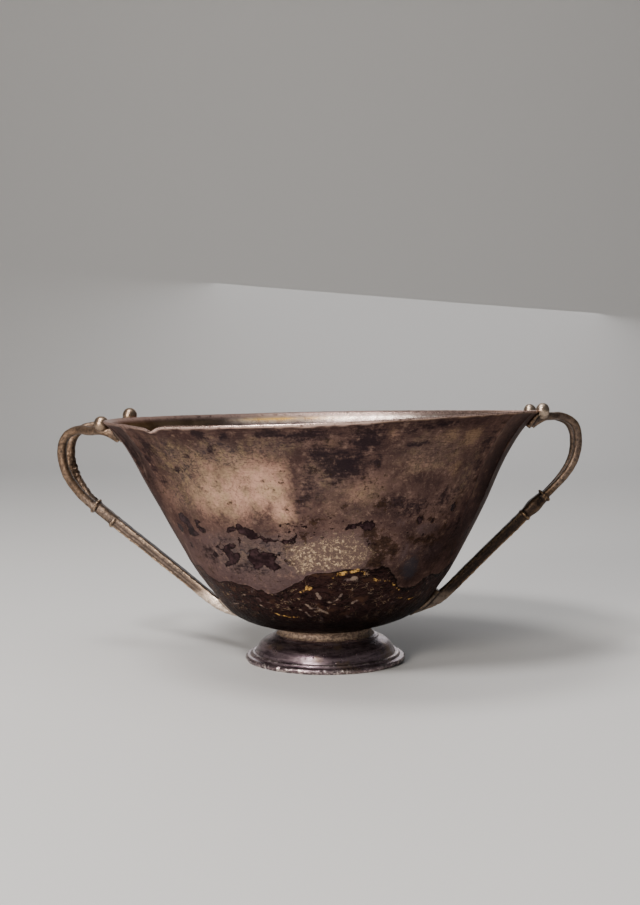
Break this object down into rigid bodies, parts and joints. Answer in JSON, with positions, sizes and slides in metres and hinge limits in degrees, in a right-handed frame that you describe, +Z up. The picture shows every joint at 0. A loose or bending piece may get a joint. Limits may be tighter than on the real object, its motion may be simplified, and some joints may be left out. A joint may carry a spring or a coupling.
{
  "type": "skyphos",
  "caption": "Ancient silver drinking cup with a flaring leaning bowl, low moulded foot and split-rod loop handles ending in balls at the lip.",
  "frame": {"origin": "on the table, under the middle of the outline's box; the foot's axis stands a few millimetres to +X of it", "axes": "+Z up, +X from the left handle to the right one, +Y to the back as the picture shows the cup"},
  "size_m": [0.185, 0.1488, 0.0892],
  "materials": {
    "bowl_silver": "raised silver with warm grey and purple-brown tarnish, pits and fine scratches",
    "foot_silver": "turned silver, polished dark, with a pale matte collar and a chipped bright edge",
    "left_handle_silver": "cast silver with a warm tan patina",
    "right_handle_silver": "cast silver with a darker brown patina and golden-brown spots"
  },
  "bodies": {
    "root": {"bowl": "bowl_silver", "foot": "foot_silver", "left_handle": "left_handle_silver", "right_handle": "right_handle_silver"}
  },
  "joints": []
}
